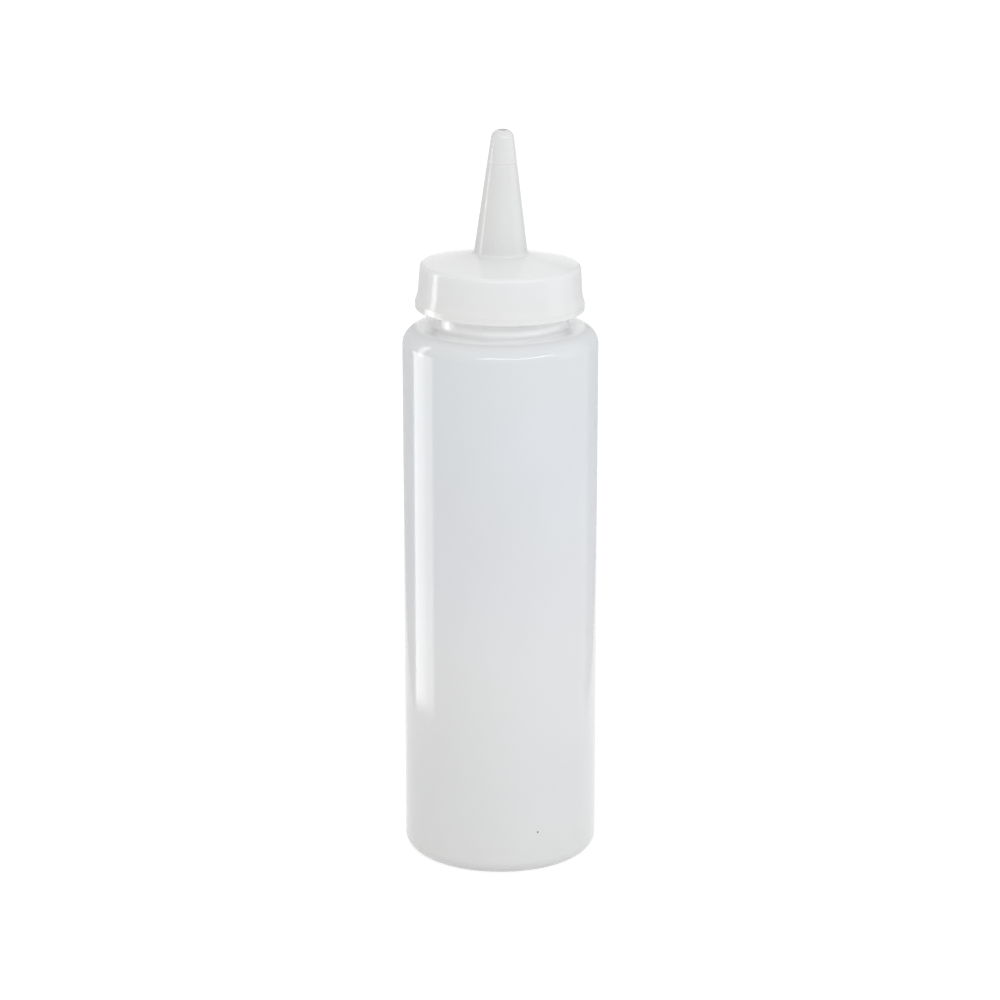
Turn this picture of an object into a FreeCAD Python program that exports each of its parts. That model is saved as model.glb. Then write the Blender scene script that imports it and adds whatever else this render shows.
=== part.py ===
import FreeCAD, Part
import math
import os
import re
import Sketcher

# A squeeze bottle for sauce: a soft, milky blow-moulded bottle and a moulded screw cap with a
# cone nozzle. Both are turned forms, so each is one half section spun about the upright axis,
# with its roundings and its hollow added as features of their own.
#
# Millimetres and degrees. +Z is up, and the origin is the middle of the base on the table.

SIZES = [
    # the bottle
    ("body_radius", 25.5, "outer radius of the straight wall"),
    ("body_wall", 0.9, "thickness of the blown wall"),
    ("base_wall", 1.2, "thickness of the base"),
    ("heel_round", 3.7, "rounding between wall and base"),
    ("ring_width", 3.3, "width of the flat ring that stands on the table"),
    ("push_up", 1.6, "height of the dome inside that ring"),
    ("shoulder_height", 142.5, "height where the lines of wall and shoulder meet"),
    ("shoulder_round", 5.0, "rounding between wall and shoulder"),
    ("shoulder_rise", 0.85, "climb of the shoulder from the wall to the neck"),
    ("neck_radius", 17.4, "outer radius of the neck, below its thread"),
    ("neck_wall", 1.6, "thickness of the neck"),
    ("neck_height", 13.95, "from the shoulder up to the rim"),
    ("neck_round", 1.2, "hollow rounding at the root of the neck"),
    ("lip_round", 0.4, "rounding of the rim's edges"),
    # the cap
    ("skirt_depth", 10.25, "from the skirt's foot up to the land that meets the rim"),
    ("thread_space", 2.0, "room for the thread between the neck and the top of the skirt"),
    ("skirt_wall", 1.4, "thickness of the skirt"),
    ("skirt_draft", 0.55, "how much wider the skirt is above its flare than at the deck"),
    ("bead_stand", 0.65, "how far the bead round the foot stands out from the skirt"),
    ("bead_height", 1.9, "height of the bead"),
    ("bead_round", 0.5, "rounding of the bead's edges"),
    ("flare_height", 4.0, "height at which the flare has run out"),
    ("flare_round", 5.0, "hollow rounding of the flare"),
    ("lead_in", 0.6, "bevel inside the foot, which starts the cap on the neck"),
    ("deck_edge", 1.5, "thickness over the land at the edge of the deck"),
    ("deck_slope", 12.0, "slope of the deck from its edge up to the nozzle, in degrees"),
    ("deck_wall", 1.4, "thickness of the deck inside the plug ring"),
    ("deck_round", 1.1, "rounding between skirt and deck"),
    ("plug_clearance", 0.2, "gap between the plug ring and the bore of the neck"),
    ("plug_depth", 2.5, "reach of the plug ring into the neck"),
    ("plug_wall", 0.9, "thickness of the plug ring"),
    ("plug_round", 0.3, "rounding of the plug ring's edges"),
    ("inside_round", 0.6, "rounding of the corners inside the cap"),
    ("nozzle_root_radius", 6.95, "outer radius of the cone where it leaves the deck"),
    ("nozzle_tip_radius", 2.7, "outer radius of the cone at its tip"),
    ("nozzle_length", 32.0, "length of the cone from the deck"),
    ("nozzle_wall", 1.15, "thickness of the cone"),
    ("nozzle_root_round", 0.8, "hollow rounding at the root of the cone"),
    ("tip_round", 2.2, "rounding of the tip"),
    ("outlet_radius", 1.35, "radius of the hole in the tip"),
    ("outlet_length", 3.0, "length of that hole"),
    ("cut_drop", 8.6, "from the tip down to the line where it can be cut wider"),
    ("cut_height", 0.5, "height of the cutting line"),
    ("cut_depth", 0.15, "depth of the cutting line"),
    # how the cap sits
    ("cap_lean", 0.9, "tilt of the screwed-on cap towards +X, in degrees"),
    ("seat_clearance", 0.05, "gap left where the land comes down on the rim"),
]

# Measures that follow from the sizes, written in their names. The bottle's heights are taken
# from the table, and the cap's from its own foot.
DERIVED = {
    "inner_radius": "body_radius - body_wall",
    "ring_radius": "body_radius - heel_round - ring_width",
    "shoulder_top": "shoulder_height + shoulder_rise",
    "neck_bore": "neck_radius - neck_wall",
    "rim_height": "shoulder_top + neck_height",
    "plug_radius": "neck_bore - plug_clearance",
    "plug_inside": "plug_radius - plug_wall",
    "skirt_inside_top": "neck_radius + thread_space",
    "skirt_inside_foot": "skirt_inside_top + skirt_draft",
    "skirt_top_radius": "skirt_inside_top + skirt_wall",
    "skirt_foot_radius": "skirt_top_radius + skirt_draft",
    "bead_radius": "skirt_foot_radius + bead_stand",
    "deck_height": "skirt_depth + deck_edge",
    "nozzle_height": "deck_height + (skirt_top_radius - nozzle_root_radius) * tan(deck_slope)",
    "tip_height": "nozzle_height + nozzle_length",
    "nozzle_taper": "(nozzle_root_radius - nozzle_tip_radius) / nozzle_length",
    "under_deck_edge": "deck_height + (skirt_top_radius - plug_inside) * tan(deck_slope) - deck_wall",
    "under_deck_root": "deck_height + (skirt_top_radius - cone_bore) * tan(deck_slope) - deck_wall",
    "cone_bore": "nozzle_root_radius - nozzle_wall",
    "outlet_bore": "nozzle_tip_radius + nozzle_taper * outlet_length - nozzle_wall",
    "cut_radius": "nozzle_tip_radius + nozzle_taper * cut_drop",
    "cut_level": "tip_height - cut_drop",
    "cap_lift": "(neck_radius - lip_round) * tan(cap_lean) + seat_clearance",
}

NEAR = 1e-4


def write_sizes(document):
    """The sheet of driving dimensions: what each is, its value, and its name as the alias."""
    sheet = document.addObject("Spreadsheet::Sheet", "Sizes")
    for row, (alias, value, meaning) in enumerate(SIZES, start=1):
        sheet.set(f"A{row}", meaning)
        sheet.set(f"B{row}", str(value))
        sheet.setAlias(f"B{row}", alias)
    document.recompute()


def formula(text):
    """A measure in plain names, spelt out as an expression on the sheet's cells."""
    aliases = [alias for alias, value, meaning in SIZES]

    def spell_out(found):
        word = found.group()
        if word in DERIVED:
            return f"({formula(DERIVED[word])})"
        return f"Sizes.{word}" if word in aliases else word

    return re.sub(r"[a-z_]+", spell_out, text)


def measure(item, text):
    """The present value of a measure."""
    return float(item.evalExpression(formula(text)))


def hold(sketch, kind, ends, text):
    """Adds a constraint whose value follows the sheet."""
    number = sketch.addConstraint(Sketcher.Constraint(kind, *ends, measure(sketch, text)))
    sketch.setExpression(f"Constraints[{number}]", formula(text))


def hold_point(sketch, item, text_x, text_y):
    """Holds the start of an item at a radius and a height, or on an axis where one is nought."""
    for kind, axis, text in (("DistanceX", -2, text_x), ("DistanceY", -1, text_y)):
        if text == "0":
            sketch.addConstraint(Sketcher.Constraint("PointOnObject", item, 1, axis))
        else:
            hold(sketch, kind, (-1, 1, item, 1), text)


def end_at(sketch, item, place):
    """Which end of an item lies at a place: 1 is its start and 2 its end."""
    return min((1, 2), key=lambda end: (sketch.getPoint(item, end) - place).Length)


def dome_arc(start, end):
    """The arc between a point on the upright axis and one beside it, centred on the axis."""
    crown, foot = (start, end) if abs(start.x) < NEAR else (end, start)
    drop = crown.y - foot.y
    radius = (foot.x ** 2 + drop ** 2) / (2 * drop)
    centre = crown - FreeCAD.Vector(0, radius, 0)
    halfway = (foot - centre).normalize() + (crown - centre).normalize()
    return Part.Arc(start, centre + halfway.normalize() * radius, end)


def rounding(before, corner, after, radius):
    """The places where a rounding of a corner starts, has its middle and ends."""
    back = (before - corner).normalize()
    ahead = (after - corner).normalize()
    half = back.getAngle(ahead) / 2
    inward = (back + ahead).normalize()
    run = radius / math.tan(half)
    middle = corner + inward * (radius / math.sin(half) - radius)
    return corner + back * run, middle, corner + ahead * run


def section(body, name, corners, domes=()):
    """A closed half section on the body's own XZ plane.

    A corner is (radius, height) in plain names, with the radius of its rounding as a third
    where it has one. The edges numbered in domes are arcs centred on the upright axis."""
    sketch = body.newObject("Sketcher::SketchObject", name)
    plane = next(item for item in body.Origin.OriginFeatures if item.Role == "XZ_Plane")
    sketch.AttachmentSupport = [(plane, "")]
    sketch.MapMode = "FlatFace"
    count = len(corners)
    points = [FreeCAD.Vector(measure(sketch, corner[0]), measure(sketch, corner[1]), 0)
              for corner in corners]
    arcs = [(place, place, place) for place in points]
    for number, corner in enumerate(corners):
        if len(corner) == 3:
            before, after = points[number - 1], points[(number + 1) % count]
            arcs[number] = rounding(before, points[number], after, measure(sketch, corner[2]))

    # Edges first, so that each has the number of the corner that it starts from.
    for edge in range(count):
        start, end = arcs[edge][2], arcs[(edge + 1) % count][0]
        sketch.addGeometry(dome_arc(start, end) if edge in domes else Part.LineSegment(start, end))
        if edge in domes:
            sketch.addConstraint(Sketcher.Constraint("PointOnObject", edge, 3, -2))
    for edge, corner in enumerate(corners):
        last = (edge - 1) % count
        arrival = end_at(sketch, last, arcs[edge][0])
        departure = end_at(sketch, edge, arcs[edge][2])
        if len(corner) == 2:
            sketch.addConstraint(Sketcher.Constraint("Coincident", last, arrival, edge, departure))
            vertex = sketch.addGeometry(Part.Point(points[edge]))
            sketch.addConstraint(Sketcher.Constraint("Coincident", vertex, 1, edge, departure))
        else:
            arc = sketch.addGeometry(Part.Arc(*arcs[edge]))
            for line, end, place in ((last, arrival, arcs[edge][0]), (edge, departure, arcs[edge][2])):
                touch = end_at(sketch, arc, place)
                sketch.addConstraint(Sketcher.Constraint("Tangent", line, end, arc, touch))
            hold(sketch, "Radius", (arc,), corner[2])
            vertex = sketch.addGeometry(Part.Point(points[edge]))
            for line in (last, edge):
                sketch.addConstraint(Sketcher.Constraint("PointOnObject", vertex, 1, line))
        hold_point(sketch, vertex, corner[0], corner[1])
    return sketch


def spin(body, kind, name, profile):
    """A full turn of a section about the upright axis: a Revolution adds, a Groove cuts."""
    body.Document.recompute()
    volume = body.Shape.Volume if body.Tip else 0.0
    feature = body.newObject(f"PartDesign::{kind}", name)
    feature.Profile = profile
    feature.ReferenceAxis = (profile, ["V_Axis"])
    feature.Angle = 360.0
    body.Document.recompute()
    gain = body.Shape.Volume - volume
    if gain == 0 or (gain > 0) != (kind == "Revolution"):
        raise RuntimeError(f"{name} changes the volume of {body.Label} by {gain:.1f}")


def make_bottle(document):
    """The blown bottle: one wall section, from the domed base round to the rim and back."""
    bottle = document.addObject("PartDesign::Body", "bottle")
    wall = section(bottle, "bottle_wall", [
        ("0", "push_up"),
        ("ring_radius", "0"),
        ("body_radius", "0", "heel_round"),
        ("body_radius", "shoulder_height", "shoulder_round"),
        ("neck_radius", "shoulder_top", "neck_round"),
        ("neck_radius", "rim_height", "lip_round"),
        ("neck_bore", "rim_height", "lip_round"),
        ("neck_bore", "shoulder_top - body_wall", "neck_round + body_wall"),
        ("inner_radius", "shoulder_height - body_wall", "shoulder_round - body_wall"),
        ("inner_radius", "base_wall", "heel_round - body_wall"),
        ("ring_radius", "base_wall"),
        ("0", "base_wall + push_up"),
    ], domes=(0, 10))
    spin(bottle, "Revolution", "bottle_shell", wall)
    return bottle


def make_cap(document):
    """The moulded cap: a skirt with a flared bead, a sloping deck and the cone nozzle."""
    cap = document.addObject("PartDesign::Body", "cap")
    outline = section(cap, "cap_outline", [
        ("0", "0"),
        ("bead_radius", "0", "bead_round"),
        ("bead_radius", "bead_height", "bead_round"),
        ("skirt_foot_radius", "flare_height", "flare_round"),
        ("skirt_top_radius", "deck_height", "deck_round"),
        ("nozzle_root_radius", "nozzle_height", "nozzle_root_round"),
        ("nozzle_tip_radius", "tip_height", "tip_round"),
        ("0", "tip_height"),
    ])
    spin(cap, "Revolution", "cap_form", outline)

    # Inside, a flat land meets the rim, a plug ring seals the bore of the neck, and the passage
    # narrows through the cone to a short round outlet.
    hollow = section(cap, "cap_hollow", [
        ("0", "0"),
        ("skirt_inside_foot + lead_in", "0"),
        ("skirt_inside_foot", "lead_in"),
        ("skirt_inside_top", "skirt_depth", "inside_round"),
        ("plug_radius", "skirt_depth"),
        ("plug_radius", "skirt_depth - plug_depth", "plug_round"),
        ("plug_inside", "skirt_depth - plug_depth", "plug_round"),
        ("plug_inside", "under_deck_edge"),
        ("cone_bore", "under_deck_root", "inside_round"),
        ("outlet_bore", "tip_height - outlet_length"),
        ("outlet_radius", "tip_height - outlet_length"),
        ("outlet_radius", "tip_height"),
        ("0", "tip_height"),
    ])
    spin(cap, "Groove", "cap_inside", hollow)

    # A fine line round the cone shows where the tip can be cut off for a wider outlet.
    line = section(cap, "cut_line", [
        ("cut_radius - cut_depth", "cut_level"),
        ("cut_radius + cut_depth", "cut_level - cut_height"),
        ("cut_radius + cut_depth", "cut_level + cut_height"),
    ])
    spin(cap, "Groove", "cut_groove", line)

    # The screwed-on cap sits a little out of true. It tilts about the middle of its seat, and
    # stands high enough for the lower side of its land to clear the rim.
    cap.Placement.Rotation = FreeCAD.Rotation(FreeCAD.Vector(0, 1, 0), 1.0)
    cap.setExpression("Placement.Rotation.Angle", formula("cap_lean"))
    cap.setExpression("Placement.Base.x", formula("-skirt_depth * sin(cap_lean)"))
    cap.setExpression("Placement.Base.z",
                      formula("rim_height + cap_lift - skirt_depth * cos(cap_lean)"))
    return cap


def check(document, parts):
    """Stops before anything is written if a feature failed or a solid isn't sound."""
    for item in document.Objects:
        if {"Invalid", "Error"} & set(item.State):
            raise RuntimeError(f"{item.Name} failed: {item.State}")
        if item.isDerivedFrom("Sketcher::SketchObject") and not item.FullyConstrained:
            raise RuntimeError(f"{item.Name} is not fully constrained")
    for part in parts:
        if part.Shape.isNull() or not part.Shape.isValid() or len(part.Shape.Solids) != 1:
            raise RuntimeError(f"{part.Label} is not one sound solid")


document = FreeCAD.newDocument("squeeze_bottle")
write_sizes(document)
parts = [make_bottle(document), make_cap(document)]
document.recompute()
check(document, parts)

os.makedirs("parts", exist_ok=True)
for part in parts:
    box = part.Shape.optimalBoundingBox()
    print(f"{part.Label}: {part.Shape.Volume / 1000:.2f} cm3, "
          f"{box.XLength:.2f} x {box.YLength:.2f} x {box.ZLength:.2f} mm, "
          f"z {box.ZMin:.2f} to {box.ZMax:.2f}")
    part.Shape.exportStep(f"parts/{part.Label}.step")
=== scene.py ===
# %% [markdown]
# # A squeeze bottle for sauce
# This lesson dresses one part: a soft, milky squeeze bottle with a screw cap and a cone nozzle.
# The solids were made first, in metres, and come in as a frame. Each piece below is made at its
# true size inside that frame, gets its finish, and rides on the part's one body, called root.
# Nothing turns or slides: the cap is screwed down and stays so.

# %% The frame
import math
import bmesh
import bpy
from mathutils import Matrix, Vector


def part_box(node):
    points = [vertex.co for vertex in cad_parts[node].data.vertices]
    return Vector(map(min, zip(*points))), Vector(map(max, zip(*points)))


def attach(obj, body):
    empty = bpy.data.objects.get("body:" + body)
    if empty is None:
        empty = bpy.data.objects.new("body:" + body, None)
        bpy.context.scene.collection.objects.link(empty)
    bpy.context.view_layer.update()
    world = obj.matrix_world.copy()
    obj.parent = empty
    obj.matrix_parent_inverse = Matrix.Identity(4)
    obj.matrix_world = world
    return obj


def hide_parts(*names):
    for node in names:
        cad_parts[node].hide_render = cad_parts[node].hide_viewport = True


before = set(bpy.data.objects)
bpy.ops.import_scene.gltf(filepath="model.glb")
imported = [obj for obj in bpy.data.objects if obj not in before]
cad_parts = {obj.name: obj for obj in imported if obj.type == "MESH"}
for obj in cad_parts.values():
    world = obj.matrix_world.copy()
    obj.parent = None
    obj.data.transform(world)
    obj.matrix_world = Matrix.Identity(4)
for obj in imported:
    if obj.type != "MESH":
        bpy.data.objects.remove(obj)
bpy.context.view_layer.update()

MM = 0.001
bottle_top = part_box("bottle")[1].z
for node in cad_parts:
    low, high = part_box(node)
    print(node, "from", [round(x / MM, 2) for x in low], "to", [round(x / MM, 2) for x in high])

# %% [markdown]
# ## The camera
# It looks down a little, as a person does at a bottle on a table, and it stands far enough off
# for the bottle's upright sides to look almost parallel. That takes a long lens. It is aimed at a
# point half way up the bottle, so it is placed by its distance and slope from there.

# %% Camera
LENS, SENSOR = 124.25, 36.0
LOOK_DOWN = math.radians(15.763)
DISTANCE = 0.90774
AIM = Vector((-0.00011, 0, 0.09573))

bpy.ops.object.camera_add(rotation=(math.pi / 2 - LOOK_DOWN, 0, 0))
camera = bpy.context.object
camera.name = "camera"
camera.location = AIM + DISTANCE * Vector((0, -math.cos(LOOK_DOWN), math.sin(LOOK_DOWN)))
camera.data.lens, camera.data.sensor_width = LENS, SENSOR
camera.data.clip_start, camera.data.clip_end = 10 * MM, 50
bpy.context.scene.camera = camera
bpy.context.scene.view_settings.view_transform = "Standard"
print("camera at", [round(x, 4) for x in camera.location])

# %% [markdown]
# ## Colours and nodes
# Colours are written as they look on a screen, in hex. Light adds up on another scale, so one
# function turns them to linear values. Another adds a shader node with its settings and links,
# so that a material reads as a short list of what it is made of.

# %% Colour and node helpers
def linear(hex_colour, alpha=1.0):
    """A screen colour such as #D0D4D8 as the linear values that the shaders work with, and the
    share that goes into its fourth channel."""
    parts = [int(hex_colour[i:i + 2], 16) / 255 for i in (1, 3, 5)]
    return [c / 12.92 if c <= 0.04045 else ((c + 0.055) / 1.055) ** 2.4 for c in parts] + [alpha]


def add(tree, kind, settings=(), **inputs):
    """A node of a kind, with its settings, and each input given a value or a link. An input is
    named, with _ for a space, or numbered, as in _0."""
    node = tree.nodes.new("ShaderNode" + kind)
    for name, value in dict(settings).items():
        setattr(node, name, value)
    for name, value in inputs.items():
        key = int(name[1:]) if name[1:].isdigit() else name.replace("_", " ")
        socket = node.inputs[key]
        if isinstance(value, bpy.types.NodeSocket):
            tree.links.new(value, socket)
        else:
            socket.default_value = value
    return node


def new_material(name):
    """An empty material, and its tree of nodes."""
    material = bpy.data.materials.new(name)
    material.use_nodes = True
    material.node_tree.nodes.clear()
    return material, material.node_tree


def seen_directly(tree):
    """A socket that is 1 where a ray comes from the camera, a mirror image or through glass,
    and 0 where it carries light from one surface to another."""
    rays = add(tree, "LightPath")
    seen = add(tree, "Math", {"operation": "MAXIMUM"},
               _0=rays.outputs["Is Camera Ray"], _1=rays.outputs["Is Glossy Ray"])
    seen = add(tree, "Math", {"operation": "MAXIMUM"},
               _0=seen.outputs[0], _1=rays.outputs["Is Transmission Ray"])
    return seen.outputs[0]


print("#808080 in linear light is", round(linear("#808080")[0], 3))

# %% [markdown]
# ## The table and the room
# The bottle stands on a plain white table in a white room. Seen directly, both are pure white.
# But a pure white table would light the bottle from below as strongly as the lamps do, so for the
# light that it passes on, the table is an ordinary white paint.

# %% Table
TABLE_SIDE = 24
GLOW = 0.84

bpy.ops.object.select_all(action="DESELECT")
bpy.ops.mesh.primitive_plane_add(size=TABLE_SIDE)
table = bpy.context.object
table.name = table.data.name = "table"

material, tree = new_material("white table")
paint = add(tree, "BsdfDiffuse", Color=linear("#F0F0F0"))
# The glow takes the table to white, and the grey paint under it still shows the bottle's shadow.
shade = add(tree, "BsdfDiffuse", Color=linear("#8C8C8C"))
white = add(tree, "Emission", Color=(1, 1, 1, 1), Strength=GLOW)
lit = add(tree, "AddShader", _0=shade.outputs[0], _1=white.outputs[0])
both = add(tree, "MixShader", _0=seen_directly(tree), _1=paint.outputs[0], _2=lit.outputs[0])
add(tree, "OutputMaterial", Surface=both.outputs[0])
table.data.materials.append(material)
print(table.name, TABLE_SIDE, "m across")

# %% Room
ROOM_LIGHT = 0.95

world = bpy.data.worlds.new("white room")
bpy.context.scene.world = world
world.use_nodes = True
world.node_tree.nodes.clear()
tree = world.node_tree
strength = add(tree, "MapRange", _0=seen_directly(tree), _1=0.0, _2=1.0, _3=ROOM_LIGHT, _4=1.0)
room = add(tree, "Background", Color=(1, 1, 1, 1), Strength=strength.outputs[0])
add(tree, "OutputWorld", Surface=room.outputs[0])
print(world.name, "lights at", ROOM_LIGHT)

# %% [markdown]
# ## The lamps
# White plastic shows its form mostly by what it mirrors, so the lamps' shapes and places matter
# more than their strength. Three narrow boxes stand close by on the left: the bottle mirrors them
# as upright bright bands. Two long slim tubes hang in front, high up, and draw the fine bright
# lines along the shoulder and the cap's rim. A broad box on the right is soft and a little cool.

# %% A lamp
# Watts that a square metre of a lamp's face needs for each step of radiance.
FACE_POWER = 4


def lamp(name, around, height, away, width, tall, radiance, look=None):
    """A flat softbox. Around is its bearing from the camera's side, positive to the right, in
    degrees, and height is that of its middle. It faces the bottle's axis, level, or where the
    axis is at the height look. Radiance is how bright its face is, a white wall being about 1."""
    bearing = math.radians(around)
    place = Vector((away * math.sin(bearing), -away * math.cos(bearing), height))
    bpy.ops.object.light_add(type="AREA", location=place)
    box = bpy.context.object
    box.name = name
    box.data.shape = "RECTANGLE"
    box.data.size, box.data.size_y = width, tall
    box.data.energy = radiance * FACE_POWER * width * tall
    aim = Vector((0, 0, height if look is None else look))
    box.rotation_euler = (aim - place).to_track_quat("-Z", "Y").to_euler()
    box.visible_camera = False
    print(name, "at", [round(x, 3) for x in place], "power", round(box.data.energy, 3))
    return box


# %% Left: the mirrored bands
CLOSE, BAND_TALL = 0.127, 0.130

# A wide band, a fainter one beside it that ends it softly, and one for the cap and the nozzle.
strips = [lamp("left_strip", -102.5, 0.070, CLOSE, 0.044, BAND_TALL, 2.0),
          lamp("left_strip_edge", -86, 0.070, CLOSE, 0.030, BAND_TALL, 1.5),
          lamp("left_strip_top", -97, 0.165, CLOSE, 0.022, 0.100, 2.4)]
# They show as reflections alone. So close to the bottle, their light would burn its side out.
for strip in strips:
    strip.visible_diffuse = False
    strip.visible_transmission = False

# %% Front and right: the tubes and the soft box
EYE, REACH, SLIM = 0.15, 0.8, 0.040


def raised(degrees):
    """The height at which a lamp at that reach stands so many degrees above the level EYE."""
    return EYE + REACH * math.tan(math.radians(degrees))


lamp("front_tube", -5, raised(29), REACH, 0.68, SLIM, 9.0, EYE)
cool = [lamp("right_tube", 45, raised(27), REACH, 0.75, SLIM, 9.0, EYE),
        lamp("right_soft", 82, 0.25, 0.9, 0.5, 0.7, 0.4, EYE)]
for box in cool:
    box.data.color = linear("#EEF5FF")[:3]

# %% [markdown]
# ## The grey cards
# White plastic on a white table has no edge unless something darker mirrors in its sides. A
# studio stands a grey card on each side for that. These two show only in reflections, so they
# take no light from the bottle and cast no shadow.

# %% Grey cards
CARD_FAR, CARD_NEAR, CARD_LONG, CARD_HIGH = 0.118, 0.054, 0.7, 0.45

material, tree = new_material("grey card")
card_paint = add(tree, "BsdfDiffuse", Color=linear("#DEDEDE"))
add(tree, "OutputMaterial", Surface=card_paint.outputs[0])
for side, name in ((-1, "card_left"), (1, "card_right")):
    bpy.ops.object.select_all(action="DESELECT")
    bpy.ops.mesh.primitive_plane_add(
        size=1, location=(side * CARD_FAR, CARD_NEAR + CARD_LONG / 2, CARD_HIGH / 2),
        rotation=(0, math.pi / 2, 0))
    card = bpy.context.object
    card.scale = (CARD_HIGH, CARD_LONG, 1)
    card.name = card.data.name = name
    card.data.materials.append(material)
    card.visible_camera = False
    card.visible_diffuse = False
    card.visible_transmission = False
    card.visible_shadow = False
    print(name, "stands", round(CARD_FAR / MM), "mm from the axis")

# %% [markdown]
# ## Turned pieces
# The bottle and the cap are round, so each is drawn as half a section, corner by corner, and
# then spun about the upright axis, as on a lathe. A corner's rounding is a bevel of its vertex.
# A primitive tube or cone couldn't have these roundings, and a section shows the wall as well.

# %% Edit mode and picking
def edit(piece, on=True):
    """Goes into edit mode on one piece, or out of it."""
    bpy.context.view_layer.objects.active = piece
    bpy.ops.object.mode_set(mode="EDIT" if on else "OBJECT")


def pick(piece, test):
    """Selects, in edit mode, just the vertices whose places pass a test."""
    bpy.ops.mesh.select_all(action="DESELECT")
    mesh = bmesh.from_edit_mesh(piece.data)
    for vertex in mesh.verts:
        vertex.select_set(test(vertex.co))
    mesh.select_flush_mode()
    bmesh.update_edit_mesh(piece.data)

# %% Drawing a section
TOUCH = 1e-6
ARC_STEP = math.radians(5)


def draw_section(name, corners, closed):
    """A wire on the XZ plane through corners of (radius, height, rounding) in millimetres. It
    starts as one point, which is extruded from corner to corner."""
    places = [Vector((radius, 0, height)) * MM for radius, height, rounding in corners]
    bpy.ops.object.select_all(action="DESELECT")
    bpy.ops.mesh.primitive_plane_add(size=MM)
    piece = bpy.context.object
    piece.name = piece.data.name = name
    edit(piece)
    bpy.ops.mesh.merge(type="CENTER")
    bpy.ops.transform.translate(value=places[0])
    path = places[1:] + places[:1] if closed else places[1:]
    for start, end in zip(places, path):
        bpy.ops.mesh.extrude_vertices_move(TRANSFORM_OT_translate={"value": end - start})
    bpy.ops.mesh.select_all(action="SELECT")
    bpy.ops.mesh.remove_doubles(threshold=TOUCH)
    for number, (radius, height, rounding) in enumerate(corners):
        if not rounding:
            continue
        here = places[number]
        back = (places[number - 1] - here).normalized()
        ahead = (places[(number + 1) % len(places)] - here).normalized()
        half = back.angle(ahead) / 2
        # An arc of that radius begins and ends this far from the corner.
        run = rounding * MM / math.tan(half)
        segments = max(2, round((math.pi - 2 * half) / ARC_STEP))
        pick(piece, lambda place: (place - here).length < TOUCH)
        bpy.ops.mesh.bevel(affect="VERTICES", offset_type="OFFSET", offset=run,
                           segments=segments, profile=0.5)
    print(name, "has a section of", len(bmesh.from_edit_mesh(piece.data).verts), "points")
    return piece

# %% Spinning and closing
TURN_STEPS = 192


def close_up(piece):
    """Joins the points that touch, turns the faces outwards and leaves edit mode."""
    bpy.ops.mesh.select_all(action="SELECT")
    bpy.ops.mesh.remove_doubles(threshold=TOUCH)
    bpy.ops.mesh.normals_make_consistent(inside=False)
    edit(piece, False)


def spin(piece):
    """Turns the section once round the upright axis."""
    bpy.ops.mesh.select_all(action="SELECT")
    bpy.ops.mesh.spin(steps=TURN_STEPS, angle=2 * math.pi, center=(0, 0, 0), axis=(0, 0, 1))
    close_up(piece)

# %% Finishing a piece
SMOOTH_ANGLE = math.radians(35)


def finish_piece(piece, material):
    """Smooth shading that keeps real edges, the finish, and the body that the piece rides on."""
    bpy.ops.object.select_all(action="DESELECT")
    piece.select_set(True)
    bpy.context.view_layer.objects.active = piece
    bpy.ops.object.shade_smooth_by_angle(angle=SMOOTH_ANGLE)
    weighted = piece.modifiers.new("even normals", "WEIGHTED_NORMAL")
    weighted.keep_sharp = True
    bpy.ops.object.modifier_apply(modifier=weighted.name)
    piece.data.materials.clear()
    piece.data.materials.append(material)
    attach(piece, "root")
    mesh = piece.data
    print(piece.name, len(mesh.vertices), "vertices,", len(mesh.polygons), "faces")

# %% [markdown]
# ## Low-density polyethylene
# Squeeze bottles are made of natural polyethylene. It has no pigment, but so many tiny crystals
# that light wanders through it, which gives the milky white. A flat white would look like paint,
# so part of the light goes through the wall here, by a random walk, and the rest comes back at
# once. Most of what wanders goes on forwards, as it does between crystals. The neck inside the
# cap's foot is kept bright by painted light: a lighter tone and more wandering light there lift
# the shade that falls under the cap.
#
# Where the plastic is thick it looks whiter, and where it was blown thin it's greyer and a touch
# blue. Each finish takes its tone and its share of wandering light from one ramp of heights. The
# ramps also hold painted light: they make the crease at the neck's root, the neck under the cap,
# the cap's foot and the nozzle's cut groove lighter, to lift the shade that falls there.

# %% Natural polyethylene
CLOUD = 35 * MM
WAVE = 28 * MM
SPECK_CORE, SPECK_RIM = 0.15 * MM, 0.3 * MM
SEAM_HALF = 0.25 * MM
WALK = 0.3 * MM


def tones_by_height(tree, height, tones):
    """A ramp of tones up the piece. Its colour is the tone, and its alpha the share of light."""
    reach = tones[-1][0] * MM
    level = add(tree, "MapRange", _0=height, _1=0.0, _2=reach)
    ramp = add(tree, "ValToRGB", Fac=level.outputs[0])
    ramp.color_ramp.interpolation = "EASE"
    stops = ramp.color_ramp.elements
    for number, (up, tone, wander) in enumerate(tones):
        stop = stops[number] if number < 2 else stops.new(1)
        stop.position = up * MM / reach
        stop.color = linear(tone, wander)
    return ramp


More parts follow.
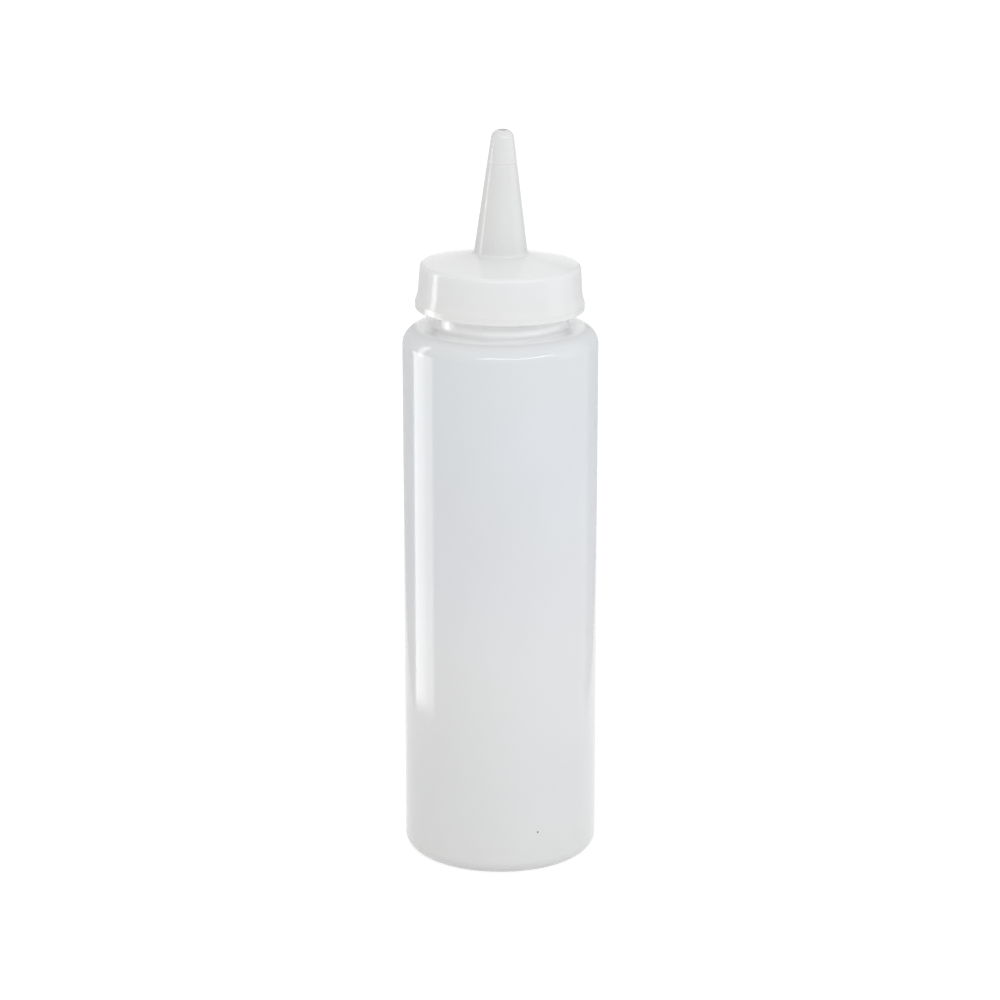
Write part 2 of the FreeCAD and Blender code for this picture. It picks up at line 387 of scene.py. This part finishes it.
def polyethylene(name, tones, gloss, ripple, seam=0.0, speck=None):
    """Milky plastic. Tones are (height in millimetres, colour, share of the light that wanders
    through the wall), from the foot up. Gloss is the roughness of its skin. Ripple and seam are
    heights in millimetres: of the wall's unevenness, and of the mould's parting line, which
    runs up both sides. Speck is the place, in millimetres, of a dark grain in the wall."""
    material, tree = new_material(name)
    place = add(tree, "TexCoord").outputs["Object"]
    sides = add(tree, "SeparateXYZ", Vector=place)
    ramp = tones_by_height(tree, sides.outputs["Z"], tones)
    # Crystals clump as the plastic cools, so its milkiness drifts a little every few centimetres.
    drift = add(tree, "TexNoise", Vector=place, Scale=1 / CLOUD, Detail=1.0)
    cloud = add(tree, "MapRange", _0=drift.outputs[0], _1=0.3, _2=0.7, _3=0.975, _4=1.0)
    colour = add(tree, "VectorMath", {"operation": "SCALE"},
                 _0=ramp.outputs[0], Scale=cloud.outputs[0]).outputs[0]
    if speck:
        # A scorched grain, as comes loose now and then from the hot screw of the machine.
        off = add(tree, "VectorMath", {"operation": "DISTANCE"},
                  _0=place, _1=tuple(x * MM for x in speck)).outputs["Value"]
        grain = add(tree, "MapRange", _0=off, _1=SPECK_CORE, _2=SPECK_RIM, _3=1.0, _4=0.0)
        colour = add(tree, "MixRGB", Fac=grain.outputs[0], Color1=colour,
                     Color2=linear("#2E2A26")).outputs[0]
    # The skin isn't quite even, which bends the long reflections a little.
    relief = add(tree, "TexNoise", Vector=place, Scale=1 / WAVE, Detail=0.0).outputs[0]
    if seam:
        # The line is at the two sides, where the mould's halves met.
        from_line = add(tree, "Math", {"operation": "ABSOLUTE"}, _0=sides.outputs["Y"])
        line = add(tree, "MapRange", {"interpolation_type": "SMOOTHSTEP"},
                   _0=from_line.outputs[0], _1=0.0, _2=SEAM_HALF, _3=seam / ripple, _4=0.0)
        relief = add(tree, "Math", {"operation": "ADD"},
                     _0=relief, _1=line.outputs[0]).outputs[0]
    bump = add(tree, "Bump", Height=relief, Distance=ripple * MM)
    skin = add(tree, "BsdfPrincipled", Base_Color=colour, Roughness=gloss, IOR=1.51,
               Normal=bump.outputs[0], Subsurface_Weight=ramp.outputs["Alpha"],
               Subsurface_Radius=(1.0, 1.0, 1.0), Subsurface_Scale=WALK,
               Subsurface_Anisotropy=0.9)
    skin.subsurface_method = "RANDOM_WALK"
    add(tree, "OutputMaterial", Surface=skin.outputs[0])
    print(name, "has", len(tones), "tones and", len(tree.nodes), "nodes")
    return material

# %% [markdown]
# The bottle's plastic is blown against a polished mould: a clear gloss, a slight ripple, and a
# faint line where the mould's halves met. The cap's is pressed into its mould, so it is thicker
# and a little whiter at the skirt. Both glosses are crisp enough to mirror a lamp as a clean band.

# %% The two finishes
# The neck's root, in the crease, and its top, under the cap's foot, are thick. They are also
# painted lighter, with more wandering light: painted light that lifts the shade falling there.
blown = polyethylene(
    "natural LDPE, blow-moulded",
    [(0, "#D0D0CF", 0.3), (22, "#D0D0D0", 0.3), (50, "#D2D2D2", 0.3), (85, "#CFD0D2", 0.3),
     (120, "#CED0D2", 0.3), (138, "#CFD1D2", 0.3), (142.6, "#D1D2D3", 0.3),
     (143.3, "#F6F6F6", 0.7), (143.7, "#F6F6F6", 0.7), (144.2, "#F2F2F2", 0.4),
     (145.4, "#F2F2F2", 0.5), (146.3, "#FFFFFF", 1.0), (157.3, "#FFFFFF", 1.0)],
    gloss=0.12, ripple=0.05, seam=0.03, speck=(9.8, -23.5, 11.6))
# The nozzle's wall is thinner than the skirt's and greyer. The cap's foot and the groove of the
# line to cut the nozzle at are painted lighter: painted light that lifts the shade under the foot
# and in the groove.
moulded = polyethylene(
    "natural LDPE, injection-moulded",
    [(0, "#DEDEDC", 0.4), (147.3, "#DEDEDC", 0.4), (148, "#D4D4D3", 0.4), (157, "#D4D4D4", 0.4),
     (159, "#D6D6D6", 0.4), (161.5, "#D5D5D5", 0.4), (163.5, "#D0D0CF", 0.4),
     (185.1, "#D0D0CF", 0.4), (185.3, "#D7D7D7", 0.4), (185.5, "#D7D7D7", 0.4),
     (185.7, "#D1D1D0", 0.4), (194, "#D1D1D0", 0.4)],
    gloss=0.13, ripple=0.03)

# %% [markdown]
# Light that wanders through two walls and the air between them is turned many times. With too
# few turns allowed it would be lost, and the plastic would look dull.

# %% Turns of a ray
cycles = bpy.context.scene.cycles
cycles.max_bounces = cycles.transmission_bounces = 32
cycles.diffuse_bounces = 24
cycles.glossy_bounces = 16
print("a ray may turn", cycles.max_bounces, "times")

# %% [markdown]
# ## The bottle
# A tube of soft plastic was blown into a mould, so the wall is thin and every corner is round.
# One section, from the axis underneath to the axis inside, gives the outside, the rim and the
# hollow. The base is pushed up into a shallow dome, so that the bottle stands on a ring.

# %% Bottle sizes, in millimetres
BODY, WALL, BASE = 25.5, 0.9, 1.2
HEEL, RING, PUSH_UP = 3.7, 18.5, 1.6
SHOULDER, SHOULDER_TOP, SHOULDER_ROUND = 142.5, 143.35, 5.0
NECK, NECK_BORE, NECK_ROUND, LIP = 17.4, 15.8, 1.2, 0.4
RIM = bottle_top / MM
# The dome is part of a ball of this radius.
DOME_BALL = (RING ** 2 + PUSH_UP ** 2) / (2 * PUSH_UP)
print("the base is part of a ball", round(2 * DOME_BALL), "mm across")

# %% Bottle
DOME_STEPS = 8


def dome(radius):
    """The height of the pushed-up base at a radius."""
    return PUSH_UP - DOME_BALL + math.sqrt(DOME_BALL ** 2 - radius ** 2)


radii = [RING * step / DOME_STEPS for step in range(DOME_STEPS)]
corners = [(radius, dome(radius), 0) for radius in radii]
corners += [
    (RING, 0, 0),
    (BODY, 0, HEEL),
    (BODY, SHOULDER, SHOULDER_ROUND),
    (NECK, SHOULDER_TOP, NECK_ROUND),
    (NECK, RIM, LIP),
    (NECK_BORE, RIM, LIP),
    (NECK_BORE, SHOULDER_TOP - WALL, NECK_ROUND + WALL),
    (BODY - WALL, SHOULDER - WALL, SHOULDER_ROUND - WALL),
    (BODY - WALL, BASE, HEEL - WALL),
    (RING, BASE, 0),
]
corners += [(radius, dome(radius) + BASE, 0) for radius in reversed(radii)]
bottle = draw_section("bottle_wall", corners, closed=False)
spin(bottle)
finish_piece(bottle, blown)
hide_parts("bottle")

# %% [markdown]
# ## The cap
# The cap is moulded in one piece: a skirt that flares to a bead at its foot, a deck that slopes up
# like a shallow cone, and the nozzle. Inside, a land meets the rim and a ring plugs the neck. Its
# section is a closed loop that never meets the axis, because the nozzle is open from end to end.

# %% Cap sizes, in millimetres
SKIRT_DEPTH, SKIRT_FOOT, SKIRT_TOP, SKIRT_WALL = 10.25, 21.35, 20.8, 1.4
BEAD, BEAD_HEIGHT, BEAD_ROUND = 22.0, 1.9, 0.5
FLARE_HEIGHT, FLARE_ROUND, LEAD_IN = 4.0, 5.0, 0.6
DECK_EDGE, DECK_SLOPE, DECK_WALL, DECK_ROUND = 1.5, math.radians(12), 1.4, 1.1
PLUG, PLUG_INSIDE, PLUG_DEPTH, PLUG_ROUND, INSIDE_ROUND = 15.6, 14.7, 2.5, 0.3, 0.6
CONE_ROOT, CONE_TIP, CONE_LENGTH, CONE_WALL = 6.95, 2.7, 32.0, 1.15
ROOT_ROUND, TIP_ROUND = 0.8, 2.2
OUTLET, OUTLET_LENGTH = 1.35, 3.0
CUT_DROP, CUT_HEIGHT, CUT_DEPTH = 8.6, 0.5, 0.15
LEAN = math.radians(0.9)
SEAT_CLEARANCE = 0.05


def deck_level(radius):
    """The height of the deck's upper face, were it to go on to that radius."""
    return deck + (SKIRT_TOP - radius) * math.tan(DECK_SLOPE)


deck = SKIRT_DEPTH + DECK_EDGE
cone_foot = deck_level(CONE_ROOT)
tip = cone_foot + CONE_LENGTH
taper = (CONE_ROOT - CONE_TIP) / CONE_LENGTH
cone_bore = CONE_ROOT - CONE_WALL
outlet_bore = CONE_TIP + taper * OUTLET_LENGTH - CONE_WALL
print("the nozzle's tip is", round(tip, 2), "mm above the skirt's foot")

# %% [markdown]
# The nozzle's tip is rounded right up to its outlet. The arc starts at the outlet's edge and runs
# out to where the cone's side carries on from it, so it is given point by point.

# %% Tip
TIP_STEPS = 14

arc_middle = CONE_TIP - TIP_ROUND * math.tan((math.pi / 2 - math.atan(taper)) / 2)
first = math.acos((OUTLET - arc_middle) / TIP_ROUND)
tip_arc = []
for step in range(TIP_STEPS + 1):
    angle = first + (math.atan(taper) - first) * step / TIP_STEPS
    tip_arc.append((arc_middle + TIP_ROUND * math.cos(angle),
                    tip - TIP_ROUND + TIP_ROUND * math.sin(angle), 0))
print("the tip's arc turns through", round(math.degrees(first - math.atan(taper))), "degrees")

# %% Cap
cut_radius, cut_level, cut_half = CONE_TIP + taper * CUT_DROP, tip - CUT_DROP, CUT_HEIGHT / 2
corners = tip_arc + [
    (cut_radius - taper * cut_half, cut_level + cut_half, 0),
    (cut_radius - CUT_DEPTH, cut_level, 0),
    (cut_radius + taper * cut_half, cut_level - cut_half, 0),
    (CONE_ROOT, cone_foot, ROOT_ROUND),
    (SKIRT_TOP, deck, DECK_ROUND),
    (SKIRT_FOOT, FLARE_HEIGHT, FLARE_ROUND),
    (BEAD, BEAD_HEIGHT, BEAD_ROUND),
    (BEAD, 0, BEAD_ROUND),
    (SKIRT_FOOT - SKIRT_WALL + LEAD_IN, 0, 0),
    (SKIRT_FOOT - SKIRT_WALL, LEAD_IN, 0),
    (SKIRT_TOP - SKIRT_WALL, SKIRT_DEPTH, INSIDE_ROUND),
    (PLUG, SKIRT_DEPTH, 0),
    (PLUG, SKIRT_DEPTH - PLUG_DEPTH, PLUG_ROUND),
    (PLUG_INSIDE, SKIRT_DEPTH - PLUG_DEPTH, PLUG_ROUND),
    (PLUG_INSIDE, deck_level(PLUG_INSIDE) - DECK_WALL, 0),
    (cone_bore, deck_level(cone_bore) - DECK_WALL, INSIDE_ROUND),
    (outlet_bore, tip - OUTLET_LENGTH, 0),
    (OUTLET, tip - OUTLET_LENGTH, 0),
]
cap = draw_section("cap_shell", corners, closed=True)
spin(cap)

# %% The cap's seat
# The cap sits a little out of true: it tips about the middle of its seat on the rim.
lift = (NECK - LIP) * math.tan(LEAN) + SEAT_CLEARANCE
seat = Matrix.Translation(Vector((0, 0, RIM + lift)) * MM)
tip_over = Matrix.Rotation(LEAN, 4, "Y")
screwed_on = seat @ tip_over @ Matrix.Translation(Vector((0, 0, -SKIRT_DEPTH)) * MM)
cap.data.transform(screwed_on)
print("at the axis, the land is", round(lift, 3), "mm above the rim")
finish_piece(cap, moulded)
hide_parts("cap")

# %% [markdown]
# ## The threads
# The cap screws on by a rib on the neck and another inside the skirt, each running once or more
# round like a ramp. A rib is its small section, screwed upwards by the Screw modifier. Its ends
# fade into the wall, as moulded threads do, and the two ribs lie half a turn's rise apart.

# %% A thread's rib
PITCH, THREAD_TALL, CREST_SHARE = 4.2, 1.5, 0.45
FADE_STEPS, THREAD_STEPS, RIB_CORNERS = 8, 96, 4
NEAR_ROOT = 0.01


def thread(name, root, crest, start, turns):
    """A rib from the radius root, inside the wall, to the radius crest, rising from start."""
    bpy.ops.object.select_all(action="DESELECT")
    bpy.ops.mesh.primitive_plane_add(size=1, rotation=(math.pi / 2, 0, 0))
    rib = bpy.context.object
    rib.name = rib.data.name = name
    bpy.ops.object.transform_apply(location=False, rotation=True, scale=True)
    edit(rib)
    bpy.ops.mesh.select_all(action="SELECT")
    bpy.ops.transform.resize(value=(abs(crest - root) * MM, 1, THREAD_TALL * MM))
    middle = (crest + root) / 2
    bpy.ops.transform.translate(value=Vector((middle, 0, start)) * MM)
    # The crest is about half as tall as the root, so that the rib has sloping flanks.
    pick(rib, lambda place: (place.x > middle * MM) == (crest > root))
    bpy.ops.transform.resize(value=(1, 1, CREST_SHARE),
                             center_override=Vector((crest, 0, start)) * MM)
    bpy.ops.mesh.select_all(action="SELECT")
    bpy.ops.mesh.delete(type="ONLY_FACE")
    edit(rib, False)
    screw = rib.modifiers.new("screw", "SCREW")
    screw.angle, screw.screw_offset = turns * 2 * math.pi, PITCH * turns * MM
    screw.steps = screw.render_steps = round(THREAD_STEPS * turns)
    screw.use_merge_vertices = False
    bpy.ops.object.modifier_apply(modifier=screw.name)
    # Every four vertices are one section: the crest sinks to the root at both ends.
    last = len(rib.data.vertices) // RIB_CORNERS - 1
    for vertex in rib.data.vertices:
        section = vertex.index // RIB_CORNERS
        rise = min(1, (min(section, last - section) + 1) / FADE_STEPS)
        radius = math.hypot(vertex.co.x, vertex.co.y) / MM
        if abs(radius - root) > NEAR_ROOT:
            wanted = root + (crest - root) * rise
            vertex.co.x *= wanted / radius
            vertex.co.y *= wanted / radius
    edit(rib)
    bpy.ops.mesh.select_all(action="SELECT")
    bpy.ops.mesh.fill_holes(sides=RIB_CORNERS)
    bpy.ops.mesh.select_all(action="SELECT")
    bpy.ops.mesh.normals_make_consistent(inside=False)
    edit(rib, False)
    return rib

# %% Threads
NECK_CREST, CAP_CREST, SUNK = 18.3, 18.2, 0.25
NECK_START, NECK_TURNS, CAP_TURNS = 148.4, 1.5, 1.1

neck_thread = thread("neck_thread", NECK - SUNK, NECK_CREST, NECK_START, NECK_TURNS)
finish_piece(neck_thread, blown)
cap_thread = thread("cap_thread", SKIRT_FOOT - SKIRT_WALL + SUNK, CAP_CREST,
                    NECK_START + PITCH / 2 - RIM + SKIRT_DEPTH, CAP_TURNS)
cap_thread.data.transform(screwed_on)
finish_piece(cap_thread, moulded)

# %% [markdown]
# ## The pinch-off line
# Before it is blown, the soft tube is pinched shut by the mould, which leaves a low welded ridge
# across the underside, in line with the mould's two halves. It's a small upright rectangle, spun
# a few degrees about the middle of the ball that the pushed-up base is part of, so that it
# follows the dome and stays clear of the table.

# %% Pinch-off line
RIDGE_WIDE, RIDGE_TALL, RIDGE_SUNK, RIDGE_REACH = 0.9, 0.45, 0.3, 14.0
RIDGE_CREST, RIDGE_STEPS = 0.6, 16

sweep = 2 * math.asin(RIDGE_REACH / DOME_BALL)
bpy.ops.object.select_all(action="DESELECT")
bpy.ops.mesh.primitive_plane_add(size=1, rotation=(0, math.pi / 2, 0))
ridge = bpy.context.object
ridge.name = ridge.data.name = "pinch_line"
bpy.ops.object.transform_apply(location=False, rotation=True, scale=True)
edit(ridge)
bpy.ops.mesh.select_all(action="SELECT")
bpy.ops.transform.resize(value=(1, RIDGE_WIDE * MM, (RIDGE_TALL + RIDGE_SUNK) * MM))
bpy.ops.transform.translate(
    value=Vector((0, 0, PUSH_UP + RIDGE_SUNK - (RIDGE_TALL + RIDGE_SUNK) / 2)) * MM)
pick(ridge, lambda place: place.z < PUSH_UP * MM)
bpy.ops.transform.resize(value=(1, RIDGE_CREST, 1), center_override=(0, 0, PUSH_UP * MM))
ball_middle = Vector((0, 0, PUSH_UP - DOME_BALL)) * MM
edit(ridge, False)
ridge.data.transform(Matrix.Translation(ball_middle) @ Matrix.Rotation(sweep / 2, 4, "Y")
                     @ Matrix.Translation(-ball_middle))
edit(ridge)
bpy.ops.mesh.select_all(action="SELECT")
bpy.ops.mesh.spin(steps=RIDGE_STEPS, angle=sweep, center=ball_middle, axis=(0, 1, 0))
close_up(ridge)
finish_piece(ridge, blown)
